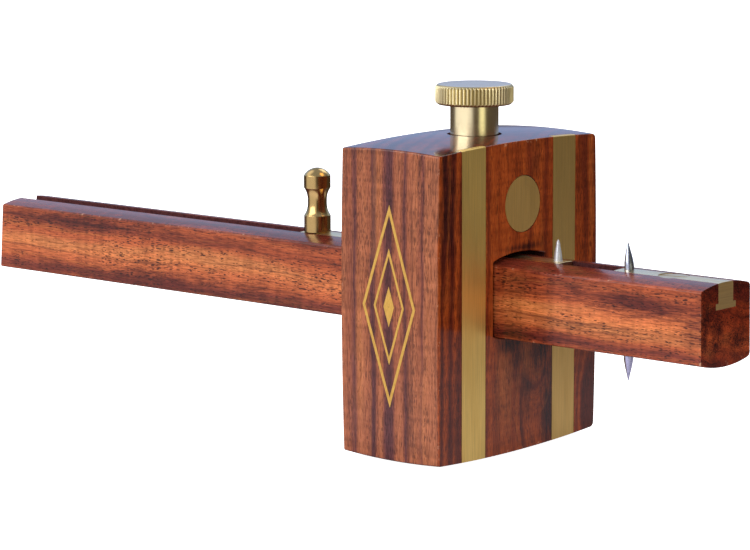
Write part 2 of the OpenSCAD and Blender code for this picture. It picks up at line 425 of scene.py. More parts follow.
def rosewood(name, axes, tilt, near, edges, layers, fence_layers, stain, blotches, lights,
             knots, swing, pore, polish, seed):
    """Lacquered rosewood as a solid texture.

    axes gives the x, y, z numbers of the grain, the layered and the third direction. The
    colour layers lie across the second, in mm, and lean by tilt in the third, counted from
    near; fence_layers, if any, take over above zero. edges holds the block's half size and
    centre along x, y and z, for the worn corners. blotches, of the colour stain, and golden
    lights are clouds, each (grain, across, third, half length, half width, half depth,
    strength) in mm. knots, each (grain, third, half length, half depth, push), bend the layers
    round a point. swing bends them everywhere, in mm, pore is how dark the pores are, and
    polish is the roughness of the lacquer.
    """
    s = Shader(name)
    xyz = s.place()
    grain, across, third = (xyz[i] for i in axes)

    def along_grain(scale_grain, scale_rest, detail, roughness=0.5):
        """Noise drawn out along the grain."""
        where = s.stretched((grain, across, third), (scale_grain, scale_rest, scale_rest))
        return s.noise(where, detail=detail, roughness=roughness)

    wander = s.offset(along_grain(0.02, 0.06, 2.0), 0.5, swing)
    ripple = s.offset(along_grain(0.10, 0.30, 3.0, 0.6), 0.5, swing * 0.35)
    shift = s.math("ADD", wander, ripple)
    for at_g, at_t, half_g, half_t, push in knots:
        away = s.length(s.offset(grain, at_g, 1 / half_g), s.offset(third, at_t, 1 / half_t), 0.0)
        shift = s.math("ADD", shift, s.spread(away, 0.0, 1.4, push, 0.0))
    lean = s.offset(third, near, tilt)
    depth = s.math("ADD", s.math("ADD", across, lean), shift)
    colour = s.layered(depth, layers)
    if fence_layers:
        colour = s.mix(s.spread(depth, -0.2, 0.2), colour, s.layered(depth, fence_layers))

    fibres = along_grain(0.30, 3.6, 3.0, 0.65)
    rough_edge = along_grain(0.16, 0.9, 4.0, 0.65)
    bent = s.math("ADD", across, shift)
    for clouds, tint in ((lights, LIGHT_CLOUD), (blotches, stain)):
        for at_g, at_a, at_t, half_g, half_a, half_t, strength in clouds:
            away = s.length(s.offset(grain, at_g, 1 / half_g), s.offset(bent, at_a, 1 / half_a),
                            s.offset(third, at_t, 1 / half_t))
            away = s.math("ADD", away, s.offset(rough_edge, 0.5, 2.0))
            away = s.math("ADD", away, s.offset(fibres, 0.5, 1.1))
            colour = s.mix(s.spread(away, 0.25, 1.25, strength, 0.0), colour, tint)

    lines = s.noise(
        s.vector(s.math("MULTIPLY", grain, 0.012), s.math("MULTIPLY", depth, 0.85),
                 s.math("ADD", s.math("MULTIPLY", third, 0.05), seed)),
        detail=5.0,
        roughness=0.65,
    )
    colour = s.mix(s.spread(lines, 0.52, 0.68, 0.0, 0.7), colour, DARK_LINE)
    colour = s.mix(s.spread(lines, 0.45, 0.32, 0.0, 0.35), colour, PALE_LINE)

    shade = s.ramp(fibres, [(0.34, (0.50, 0.42, 0.40)), (0.58, (1, 1, 1)), (0.75, (1, 1, 1))])
    colour = s.mix(1.0, colour, shade, "MULTIPLY")
    shimmer = s.ramp(along_grain(0.55, 0.07, 3.0),
                     [(0.35, (0.84, 0.82, 0.80)), (0.65, (1.1, 1.1, 1.1))])
    colour = s.mix(1.0, colour, shimmer, "MULTIPLY")

    crowd = s.spread(along_grain(0.03, 0.35, 2.0), 0.35, 0.65, 0.55, 1.15)
    pores = None
    for scale_grain, scale_rest, fullness, start in (
        (0.75, 3.3, 0.46, 0.0), (0.30, 2.0, 0.34, 40.0), (0.45, 2.6, 0.40, 90.0),
    ):
        where = s.stretched((s.math("ADD", grain, start), bent, third),
                            (scale_grain, scale_rest, scale_rest))
        cell = s.add("ShaderNodeTexVoronoi", {"Vector": where, "Scale": 1.0})
        size = s.add("ShaderNodeSeparateColor", {0: cell.outputs["Color"]}).outputs[0]
        reach = s.math("MULTIPLY", s.math("MULTIPLY", size, fullness), crowd)
        hole = s.spread(s.math("SUBTRACT", reach, cell.outputs["Distance"]), 0.0, 0.08)
        pores = hole if pores is None else s.math("MAXIMUM", pores, hole)
    colour = s.mix(s.math("MULTIPLY", pores, pore), colour, PORE)

    gaps = [s.math("SUBTRACT", half, s.math("ABSOLUTE", s.math("SUBTRACT", p, centre)))
            for p, (half, centre) in zip(xyz, edges)]
    first, second = s.math("MINIMUM", *gaps[:2]), s.math("MAXIMUM", *gaps[:2])
    near_edge = s.math("MAXIMUM", first, s.math("MINIMUM", second, gaps[2]))
    knocks = s.noise(s.vector(*xyz), scale=0.42, detail=3.0, roughness=0.7)
    worn = s.math("MULTIPLY", s.spread(near_edge, 0.75, 0.15), s.spread(knocks, 0.60, 0.68))
    colour = s.mix(s.math("MULTIPLY", worn, 0.55), colour, WORN_WOOD)

    normal = s.add("ShaderNodeTexCoord").outputs["Normal"]
    facing = s.add("ShaderNodeSeparateXYZ", {0: normal}).outputs[axes[0]]
    end_grain = s.spread(s.math("ABSOLUTE", facing), 0.55, 0.9)
    swirls = s.ramp(along_grain(0.05, 0.35, 4.0, 0.6),
                    [(0.36, (0.22, 0.10, 0.14)), (0.60, (0.56, 0.31, 0.29))])
    colour = s.mix(s.math("MULTIPLY", end_grain, 0.9), colour,
                   s.mix(1.0, colour, swirls, "MULTIPLY"))

    height = s.math("SUBTRACT", s.math("MULTIPLY", fibres, 0.12), s.math("MULTIPLY", pores, pore))
    return s.set(
        Base_Color=colour,
        Roughness=s.spread(fibres, 0.3, 0.7, 0.58, 0.45),
        Specular_IOR_Level=0.0,
        Normal=s.bump(height, 0.016, 0.6),
        Coat_Weight=1.0,
        Coat_Roughness=polish,
        Coat_IOR=1.35,
    )


def bare_shaded_rosewood(name):
    """Sawn wood that no lacquer reached, dark as painted shade in the hollows it lines."""
    s = Shader(name)
    fuzz = s.noise(s.vector(*s.place()), scale=1.6, detail=5.0, roughness=0.7)
    return s.set(
        Base_Color=s.ramp(fuzz, [(0.35, (0.045, 0.014, 0.016)), (0.65, (0.130, 0.040, 0.040))]),
        Roughness=0.85,
        Specular_IOR_Level=0.05,
        Normal=s.bump(fuzz, 0.15, 0.7),
    )


def brushed_brass(name, axes, colour, rough, metal=1.0):
    """Brass with fine scratches along the first of axes; metal under 1 is a dull lacquer."""
    s = Shader(name)
    xyz = s.place()
    place = [xyz[i] for i in axes]
    scratches = s.noise(s.stretched(place, (0.12, 14.0, 3.0)), detail=3.0, roughness=0.65)
    wear = s.noise(s.stretched(place, (0.05, 0.3, 0.3)), detail=3.0)
    coarse = s.noise(s.stretched(place, (0.05, 3.0, 1.0)), detail=4.0, roughness=0.7)
    lines = s.math("ADD", s.math("MULTIPLY", scratches, 0.4), s.math("MULTIPLY", coarse, 0.6))
    tone = s.ramp(lines, [(0.36, toned(colour, (0.74, 0.74, 0.74))), (0.60, colour)])
    tone = s.mix(s.spread(wear, 0.45, 0.70, 0.0, 0.5), tone, toned(colour, (0.78, 0.74, 0.66)))
    return s.set(
        Base_Color=tone,
        Metallic=metal,
        Roughness=s.spread(wear, 0.3, 0.7, rough - 0.05, rough + 0.08),
        Normal=s.bump(lines, 0.014, 0.6),
    )


# Dark brass for the knurl's grooves and rim chamfers: grime, and painted shade in them
GRIME_AND_SHADE = (0.46, 0.38, 0.20)


def turned_brass(name, colour, rough, grime_and_shade=None):
    """Brass straight from the lathe: fine rings round the vertical, with slight handling marks.

    grime_and_shade, the x and y of an axis, a darkest radius and an untouched one, darkens a
    knurl's grooves and rim chamfers: grime, and painted shade there.
    """
    s = Shader(name)
    x, y, z = s.place()
    rings = s.noise(s.vector(0.0, 0.0, s.math("MULTIPLY", z, 9.0)), detail=4.0, roughness=0.7)
    marks = s.noise(s.stretched((x, y, z), (0.35, 0.35, 0.35)), detail=4.0, roughness=0.6)
    tone = s.mix(s.spread(marks, 0.5, 0.8, 0.0, 0.3), colour, toned(colour, (0.74, 0.68, 0.6)))
    if grime_and_shade:
        axis_x, axis_y, darkest_r, untouched_r = grime_and_shade
        away = s.length(s.math("SUBTRACT", x, axis_x), s.math("SUBTRACT", y, axis_y), 0.0)
        # Painted shade as well as grime: the grooves and rim chamfers darken towards the axis
        tone = s.mix(s.spread(away, darkest_r, untouched_r), GRIME_AND_SHADE, tone)
    return s.set(
        Base_Color=tone,
        Metallic=1.0,
        Roughness=s.spread(marks, 0.3, 0.7, rough - 0.02, rough + 0.03),
        Normal=s.bump(rings, 0.008, 0.5),
    )


def ground_steel(name, tone, rough, metal=1.0):
    """Steel with fine grinding rings round the vertical; metal under 1 is a whiter glint."""
    s = Shader(name)
    rings = s.noise(s.stretched(s.place(), (1.0, 1.0, 10.0)), detail=3.0, roughness=0.6)
    return s.set(
        Base_Color=s.ramp(rings, [(0.3, toned(tone, (0.7, 0.7, 0.7))), (0.7, tone)]),
        Metallic=metal,
        Roughness=s.spread(rings, 0.3, 0.7, rough - 0.05, rough + 0.07),
        Normal=s.bump(rings, 0.01, 0.5),
    )


def gold_foil(name):
    """Thin hot-stamped foil, rubbed in places."""
    s = Shader(name)
    rub = s.noise(s.stretched(s.place(), (3.0, 3.0, 0.8)), detail=4.0, roughness=0.7)
    return s.set(
        Base_Color=s.ramp(rub, [(0.25, (0.42, 0.22, 0.03)), (0.6, (0.62, 0.36, 0.06))]),
        Metallic=0.25,
        Roughness=s.spread(rub, 0.3, 0.7, 0.5, 0.35),
    )


def pale_floor(name):
    """A plain floor that glows evenly, so that it shows white to its far edge."""
    s = Shader(name)
    grain = s.noise(s.vector(*s.place()), scale=0.02, detail=2.0)
    tone = s.ramp(grain, [(0.3, (0.90, 0.90, 0.90)), (0.7, (0.92, 0.92, 0.92))])
    return s.set(
        Base_Color=tone,
        Roughness=0.9,
        Specular_IOR_Level=0.1,
        Emission_Color=(1, 1, 1, 1),
        Emission_Strength=1.0,
    )


def tinted(tint, *layers):
    """The same layers with each colour multiplied by tint."""
    return [(at, toned(tone, tint)) for at, tone in layers]


STEM_LAYERS = tinted(
    (1.25, 1.35, 2.0),
    (-11, DUSK), (-8.5, MID), (-7.0, DUSK), (-5.2, WARM), (-3.0, PALE), (-1.2, GOLD),
    (1.0, PALE), (3.2, WARM), (5.0, MID), (6.8, WARM), (8.3, MID), (9.0, DUSK), (11.0, DUSK),
    (12.2, DARK), (13.5, DUSK),
)
STEM_BLOTCHES = [
    (-138, 6.4, -9, 42, 2.4, 14, 1.0),
    (-92, 4.6, -9, 18, 1.6, 14, 0.6),
    (-40, 4.4, -9, 12, 1.6, 14, 0.6),
    (-118, -7.2, -9, 44, 3.4, 14, 0.95),
    (-62, -8.6, -9, 40, 2.6, 14, 0.85),
    (-64, 8.8, -9, 34, 2.0, 14, 0.6),
    (41, 4.0, -9, 18, 2.4, 11, 1.0),
    (16, 6.8, -9, 16, 1.6, 14, 0.8),
    (12, -7.0, -9, 16, 2.4, 14, 0.75),
    (57, 2.4, -6.4, 5, 2.2, 4.2, 1.0),
    (57, -0.4, -3.0, 5, 3.0, 2.2, 1.0),
    (57, -1.2, -8.4, 5, 3.4, 1.8, 1.0),
    (57, 7.0, -5.6, 5, 2.4, 3.4, 0.8),
    (57, -3.6, 4.6, 5, 2.0, 4.6, 1.0),
    (57, -3.9, -4.0, 5, 1.6, 1.6, 1.0),
    (57, -7.2, 6.0, 5, 1.8, 3.6, 0.8),
]
STEM_LIGHTS = [
    (-146, 0.0, -9, 34, 1.8, 12, 0.7),
    (-90, 0.4, -9, 34, 2.4, 12, 0.8),
    (-38, -1.6, -9, 12, 2.0, 12, 0.4),
    (14, 0.6, -9, 14, 1.6, 12, 0.6),
    (34, -3.2, -9, 30, 2.0, 12, 0.7),
    (58, -3.0, 0.2, 5, 1.6, 2.2, 0.8),
    (58, -5.0, -6.6, 5, 1.5, 2.4, 0.9),
    (58, 4.6, -6.3, 4, 1.0, 1.6, 0.9),
]
STOCK_LAYERS = tinted(
    (1.10, 1.75, 3.5),
    (-29.5, WARM), (-27.0, MID), (-26.2, DUSK), (-25.5, DARK), (-24.6, MID), (-23.0, WARM),
    (-20.9, MID), (-20.1, DARK), (-19.2, DARK), (-18.5, MID), (-17.4, WARM), (-16.3, DUSK),
    (-15.5, DARK), (-13.9, DARK), (-13.1, MID), (-11.8, WARM), (-10.7, MID), (-9.9, DARK),
    (-9.0, MID), (-7.2, WARM), (-5.6, MID), (-4.9, DUSK), (-4.1, WARM), (-1.8, WARM),
    (-0.5, WARM), (1.0, MID),
)
FENCE_LAYERS = [
    (-1.0, WARM), (0.5, WARM), (0.9, DARK), (1.3, DUSK), (1.7, WARM), (2.2, MID), (2.6, DARK),
    (3.0, DUSK), (3.4, WARM), (3.9, MID), (4.4, DUSK), (6.0, MID), (8.8, WARM), (9.4, DUSK),
    (10.0, WARM), (11.4, MID), (12.4, WARM), (14.6, MID), (16.2, WARM), (17.2, DUSK),
    (17.8, WARM), (19.4, WARM), (20.6, DUSK), (21.3, MID), (26.4, WARM), (27.4, MID),
    (28.0, DUSK), (28.8, MID), (29.6, WARM), (30.2, DUSK), (31.0, DARK),
]
STOCK_BLOTCHES = [
    # Darkens the fence face just below the mortise
    (-10.8, -1, -4.0, 2.2, 9, 5.0, 0.95),
    (-13.5, -1, 9.4, 8.5, 9, 5.2, 1.0),
    (-29, -1, 12.0, 12, 9, 3.8, 0.9),
    (-15, -1, -0.5, 6, 9, 2.6, 0.6),
    (-24, -1, 3.0, 7, 9, 1.6, 0.6),
    # Darkens the fence face just above the mortise
    (11.8, -1, 2.0, 1.0, 9, 8.0, 0.8),
    (33, -1, 6.2, 6, 8, 2.0, 0.6),
    (-15, -1, 26, 15, 9, 3.2, 0.4),
    (-26, -1, -25, 18, 9, 3.0, 0.25),
    (22, -1, 27, 24, 8, 4.4, 0.22),
    (25, -1, -27, 24, 8, 3.4, 0.8),
    (22, -14, -30, 12, 1.6, 6, 0.3),
    (-22, -9, -30, 18, 1.7, 6, 0.4),
]
STOCK_LIGHTS = [
    (24, -19.0, -31, 20, 1.6, 6, 0.30),
    (-12, -24.0, -31, 22, 1.6, 6, 0.30),
    (-24, -5.0, -31, 16, 1.5, 6, 0.25),
    (-15, -1, 2.4, 6, 9, 1.8, 0.3),
    (-20, -1, -6.0, 13, 9, 3.6, 0.3),
]
bare_shaded_wood = bare_shaded_rosewood("bare_shaded_rosewood_look")
stem_wood = rosewood(
    "stem_rosewood_look", axes=(0, 2, 1), tilt=0.25, near=-9.5,
    edges=[(114.0, -55.5), (9.5, 0.0), (8.7, 0.0)], layers=STEM_LAYERS, fence_layers=None,
    stain=(0.125, 0.018, 0.012), blotches=STEM_BLOTCHES, lights=STEM_LIGHTS, knots=[],
    swing=5.0, pore=0.88, polish=0.20, seed=2.0,
)
stock_wood = rosewood(
    "stock_rosewood_look", axes=(2, 0, 1), tilt=0.5, near=-STOCK_HALF_W,
    edges=[(14.75, -14.75), (30.6, 0.0), (37.0, 0.0)], layers=STOCK_LAYERS,
    fence_layers=FENCE_LAYERS, stain=(0.018, 0.004, 0.009), blotches=STOCK_BLOTCHES,
    lights=STOCK_LIGHTS,
    knots=[(-17, 8.0, 9, 5.0, -5.0), (-27, 4.0, 12, 5.0, 2.5), (-30, 26.5, 12, 4.0, 4.0)],
    swing=3.2, pore=0.55, polish=0.13, seed=7.0,
)
near_strip_brass = brushed_brass("near_strip_brass_look", (2, 1, 0), (0.89, 0.645, 0.20),
                                 0.45, 0.8)
# The far strip's brass is a darker copy of the near strip's: painted shade on that strip
shaded_far_strip_brass = brushed_brass("shaded_far_strip_brass_look", (2, 1, 0), (0.69, 0.475, 0.160),
                                0.40, 0.8)
sawn_brass = brushed_brass("sawn_brass_look", (1, 2, 0), (0.60, 0.415, 0.175), 0.45, 0.8)
bar_brass = brushed_brass("bar_brass_look", (0, 1, 2), (0.95, 0.77, 0.45), 0.28)
bright_brass = turned_brass("turned_brass_look", (0.92, 0.81, 0.51), 0.24)
# A darker copy of the knurl's brass for the head's flat top: painted shade on that face
top_shade_brass = turned_brass("top_shade_brass_look", (0.80, 0.62, 0.42), 0.24)
knurl_brass = turned_brass("knurled_brass_look", (0.94, 0.82, 0.48), 0.40,
                           (SCREW_X, SCREW_Y, HEAD_R - KNURL_DEPTH, HEAD_R - 0.05))
dark_brass = turned_brass("aged_brass_look", (0.51, 0.355, 0.145), 0.20)
screw_brass = turned_brass("screw_brass_look", (0.66, 0.54, 0.34), 0.34)
disc_brass = brushed_brass("disc_brass_look", (2, 1, 0), (0.92, 0.62, 0.21), 0.40, 0.85)
pin_steel = ground_steel("pin_steel_look", (0.50, 0.56, 0.70), 0.28)
new_pin_steel = ground_steel("bright_pin_steel_look", (0.83, 0.88, 0.95), 0.42, 0.6)
# The marking pin's steel is tinted blue: a painted reflection of a cool pale surface below it
reflection_tinted_pin_steel = ground_steel("reflection_tinted_pin_steel_look", (0.46, 0.48, 0.68), 0.26)
foil = gold_foil("gold_foil_look")

# -------------------------------- the stock


def stock_outline():
    """The block's outline at its crown: barrel top and bottom, bulging sides, eased corners."""
    corner_z = STOCK_HALF_H - STOCK_HALF_W**2 / (2 * BARREL_R)
    corner_y = STOCK_HALF_W - corner_z**2 / (2 * SIDE_R)
    across, up = 24, 30

    def half(far_corner, near_corner):
        top = []
        for i in range(across + 1):
            y = corner_y * (1 - 2 * i / across)
            corner = {0: far_corner, across: near_corner}.get(i, 0)
            top.append((y, STOCK_HALF_H - y * y / (2 * BARREL_R), corner))
        side = []
        for i in range(1, up):
            z = top[-1][1] * (1 - 2 * i / up)
            side.append((z * z / (2 * SIDE_R) - STOCK_HALF_W, z, 0))
        return top + side

    return fillet(half(1.3, 0.5) + [(-y, -z, r) for y, z, r in half(0.5, 1.4)])


def crowned(x, y, z):
    """Lowers the top and bottom away from the middle of the block's thickness."""
    drop = (x + STOCK_T / 2) ** 2 / (2 * CROWN_R)
    return x, y, z * (1 - drop / STOCK_HALF_H)


def stock_block(name):
    """The whole block; the wood and the strips are cut from it."""
    return sweep(name, stock_outline(), eased(0.0, -STOCK_T, 0.25, pieces=10), crowned)


def dome_z(y, top):
    """The height of a dome of the stem's curvature at y."""
    return top - DOME_R + math.sqrt(DOME_R * DOME_R - y * y)


def dome(half_w, top, corner, steps):
    """Points over a dome from side to side, the two corners rounded."""
    across = [half_w * (1 - 2 * i / steps) for i in range(steps + 1)]
    return [(y, dome_z(y, top), corner if abs(y) == half_w else 0) for y in across]


def domed_outline(half_w, top, bottom, corner):
    """A width between two facing domes."""
    lower = [(-y, -z, r) for y, z, r in dome(half_w, -bottom, corner, 10)]
    return fillet(dome(half_w, top, corner, 10) + lower)


def circle_outline(y, z, radius):
    return arc_points((y, z), radius, 0, 2 * math.pi, 128)[:-1]


def strip_room(name, side, gap=0.0):
    """The room of the wear strip on one side, smaller by gap where it meets the wood."""
    y_low, y_high = sorted((side * STRIP_LOW.y, side * STRIP_HIGH.y))
    return block(name, (STRIP_LOW.x + gap, y_low + gap, -BEYOND), (1, y_high - gap, BEYOND))


def build_stock():
    """The block with its mortise and holes, the two wear strips and the nut's flush end."""
    wood = stock_block("stock_wood")
    mortise = sweep(
        "mortise_cutter",
        domed_outline(STEM_HALF_W + MORTISE_SIDE_GAP, STEM_HALF_H + MORTISE_TOP_GAP,
                      -STEM_HALF_H - RUN, 0.5),
        [(2.0, -2.2), (-0.2, 0.0), (0.2 - STOCK_T, 0.0), (-STOCK_T - 2.0, -2.2)],
    )
    hole = lathe(
        "hole_cutter",
        [(0, 8), (SCREW_HOLE_R, 8), (SCREW_HOLE_R, STOCK_HALF_H + 1), (0, STOCK_HALF_H + 1)],
        at=(SCREW_X, SCREW_Y, 0),
    )
    nut_y, nut_z = (NUT_LOW.y + NUT_HIGH.y) / 2, (NUT_LOW.z + NUT_HIGH.z) / 2
    nut_r = (NUT_HIGH.y - NUT_LOW.y) / 2
    pocket = sweep(
        "pocket_cutter", circle_outline(nut_y, nut_z, nut_r), [(1.0, 0.0), (NUT_LOW.x, 0.0)]
    )
    recesses = [strip_room("recess_cutter", side) for side in (-1, 1)]
    carve(wood, "DIFFERENCE", mortise, hole, pocket, *recesses)
    finish_surface(wood)
    piece(wood, "stock", "stock_rosewood", stock_wood, "stock")

    def in_a_hole(x, y, z):
        in_mortise = (abs(y) < STEM_HALF_W + MORTISE_SIDE_GAP + 0.1
                      and abs(z) < STEM_HALF_H + MORTISE_TOP_GAP + 0.1)
        in_hole = z > 0 and math.hypot(x - SCREW_X, y - SCREW_Y) < SCREW_HOLE_R + 0.05
        return -STOCK_T + 0.1 < x < -0.1 and (in_mortise or in_hole)

    # The mortise and the screw hole take the dark bare wood: painted shade in these hollows
    face_look(wood, bare_shaded_wood, in_a_hole)

    # The far strip takes the darker copy of the brass: painted shade
    for side, node, brass in ((-1, "near_wear_strip", near_strip_brass),
                              (1, "far_wear_strip", shaded_far_strip_brass)):
        strip = stock_block(node.replace("wear", "brass"))
        carve(strip, "INTERSECT", strip_room("strip_room", side, HAIRLINE))
        finish_surface(strip)
        piece(strip, "stock", "strip_brass", brass, node)

    nut = sweep(
        "nut_face",
        circle_outline(nut_y, nut_z, nut_r - 0.12),
        eased(0.0, NUT_LOW.x + HAIRLINE, 0.18, steps=2),
    )
    bore_r = THREAD_R + RUN
    bore = lathe("bore_cutter", [(0, 0), (bore_r, 0), (bore_r, 40), (0, 40)],
                 at=(SCREW_X, SCREW_Y, 5), segments=64)
    carve(nut, "DIFFERENCE", bore)
    finish_surface(nut)
    piece(nut, "stock", "turned_brass", disc_brass, "barrel_nut")


# -------------------------------- the stem and its brass


def stem_outline():
    """Flat sides, domed top and bottom, and the T groove open at the top."""
    web = WEB_HALF_W + RUN
    foot = BAR_HIGH.y + RUN
    floor = BAR_LOW.z - RUN
    shelf = BAR_LOW.z + FOOT_H + RUN
    w, top = STEM_HALF_W, STEM_HALF_H
    lip = 0.15

    def half_up(side, edge):
        dome = [(side * y, dome_z(y, top), 0) for y in (7.0, 5.8, 4.5)]
        groove = [(side * web, shelf, 0), (side * foot, shelf, 0), (side * foot, floor, 0)]
        return [(side * w, dome_z(w, top), edge), *dome, (side * web, dome_z(web, top), lip),
                *groove]

    bottom = [(-w, -dome_z(w, top), 0.4)]
    bottom += [(w * k / 10, -dome_z(w * k / 10, top), 0) for k in range(-8, 9, 2)]
    bottom += [(w, -dome_z(w, top), 1.5)]
    return fillet(half_up(1, 1.2) + half_up(-1, 0.6)[::-1] + bottom)


def bar_outline(top):
    """The inverted T, its top domed."""
    web, foot = WEB_HALF_W, BAR_HIGH.y
    floor, shelf = BAR_LOW.z, BAR_LOW.z + FOOT_H
    ease = 0.1
    right = [(foot, floor, ease), (foot, shelf, ease), (web, shelf, 0)]
    left = [(-web, shelf, 0), (-foot, shelf, ease), (-foot, floor, ease)]
    return fillet(right + dome(web, top, ease, 8) + left, steps=3)


def sawn_ends(x, y, z):
    """Both ends of the stem were sawn a touch out of square; the insert was cut with it."""
    up = (z + STEM_HALF_H) / (2 * STEM_HALF_H)
    over = (y + STEM_HALF_W) / (2 * STEM_HALF_W)
    far = FAR_END_LEAN * up ** 2 * max(0.0, 1 - (x - STEM_LOW.x) / 4)
    near = (PIN_END_SKEW * over + PIN_END_LEAN * (1 - up)) * max(0.0, 1 - (STEM_HIGH.x - x) / 4)
    return x + far + near, y, z


def wood_screw_profile(head_r, depth):
    """A countersunk screw, from its point up to the flat of its head."""
    return [
        (0, -depth), (0.35, -depth + 1.2), (SHANK_R, -depth + 3), (SHANK_R, SHANK_R - head_r),
        (head_r, -0.04), (head_r - 0.04, 0), (0, 0),
    ]


def build_stem():
    """The stem, the brass insert in its pin end and the wood screw that holds it."""
    screw_low, screw_high = box_mm("insert_screw")
    screw_x = (screw_low.x + screw_high.x) / 2
    head_r = (screw_high.x - screw_low.x) / 2
    top = screw_high.z

    def seat(name):
        """The cutter for the screw's hole and countersink."""
        hole_r, rim_r = SHANK_R + RUN, head_r + RUN
        return lathe(
            name,
            [(0, -12), (hole_r, -12), (hole_r, hole_r - head_r), (rim_r, -RUN), (rim_r, 2),
             (0, 2)],
            at=(screw_x, 0, top),
            segments=128,
        )

    stem = sweep("stem_wood", stem_outline(), eased(STEM_HIGH.x, STEM_LOW.x, 0.12, pieces=28),
                 sawn_ends)
    carve(stem, "DIFFERENCE", seat("stem_seat_cutter"))
    finish_surface(stem)
    piece(stem, "stem", "stem_rosewood", stem_wood, "stem")

    def in_groove(x, y, z):
        return (STEM_LOW.x + 0.7 < x < STEM_HIGH.x - 0.1 and abs(y) < BAR_HIGH.y + RUN + 0.01
                and BAR_LOW.z - 0.1 < z < dome_z(y, STEM_HALF_H) - 0.16)

    # The groove's walls and floor take the dark bare wood: painted shade in the groove
    face_look(stem, bare_shaded_wood, in_groove)

    insert = sweep("insert_brass", bar_outline(INSERT_HIGH.z),
                   eased(INSERT_HIGH.x, INSERT_LOW.x, 0.05, pieces=6), sawn_ends)
    carve(insert, "DIFFERENCE", seat("insert_seat_cutter"))
    finish_surface(insert)
    piece(insert, "stem", "bar_brass", bar_brass, "end_insert")
    face_look(insert, sawn_brass, lambda x, *_: x > STEM_HIGH.x - 0.02)

    screw = lathe("screw_brass", wood_screw_profile(head_r, top - screw_low.z),
                  at=(screw_x, 0, top), segments=96)
    half_w, depth = 0.4, 0.9
    slot = block("slot_cutter", (-4, -half_w, -depth), (4, half_w, 1))
    slot.data.transform(Matrix.Translation(Vector((screw_x, 0, top)) * MM)
                        @ Matrix.Rotation(math.radians(SLOT_DEGREES), 4, "Z"))
    carve(screw, "DIFFERENCE", slot)
    finish_surface(screw)
    piece(screw, "stem", "bar_brass", screw_brass, "insert_screw")


def build_slide():
    bar = sweep("slide_brass", bar_outline(BAR_HIGH.z),
                eased(BAR_HIGH.x, BAR_LOW.x, 0.09, pieces=12))
    finish_surface(bar)
    piece(bar, "slide", "bar_brass", bar_brass, "slide_bar")


# -------------------------------- turned pieces


def build_knob():
    """The pull knob: a stud in the bar, a base, a waist, and a head with a domed tip."""
    height = KNOB_HIGH.z - BAR_HIGH.z
    stud_bottom = BAR_LOW.z - BAR_HIGH.z
    r = (KNOB_HIGH.y - KNOB_LOW.y) / 2
    waist_r, stud_r, edge = 2.4, 1.5, 0.12
    base_h, head_from, dome_from = 0.26 * height, 0.69 * height, 0.88 * height
    half = (head_from - base_h) / 2
    dome_h = height - dome_from
    dome_arc = (r * r + dome_h * dome_h) / (2 * dome_h)
    n = 14
    waist = [(waist_r + (r - waist_r) * abs(i / n) ** 2.6, base_h + half * (1 + i / n))
             for i in range(-n, n + 1)]
    tip = arc_points((0, height - dome_arc), dome_arc, math.asin(1 - dome_h / dome_arc),
                     math.pi / 2, n)
    outline = (
        [(0, stud_bottom, 0), (stud_r, stud_bottom, 0), (stud_r, 0, 0), (r, 0, 0.15)]
        + [(u, v, edge if i in (0, 2 * n) else 0) for i, (u, v) in enumerate(waist)]
        + [(u, v, edge if i == 0 else 0) for i, (u, v) in enumerate(tip)]
    )
    outline[-1] = (0, height, 0)
    knob = lathe("knob_brass", fillet(outline, closed=False, steps=4),
                 at=((KNOB_LOW.x + KNOB_HIGH.x) / 2, 0, BAR_HIGH.z), segments=128)
    finish_surface(knob, 40)
    piece(knob, "slide", "turned_brass", dark_brass, "pull_knob")


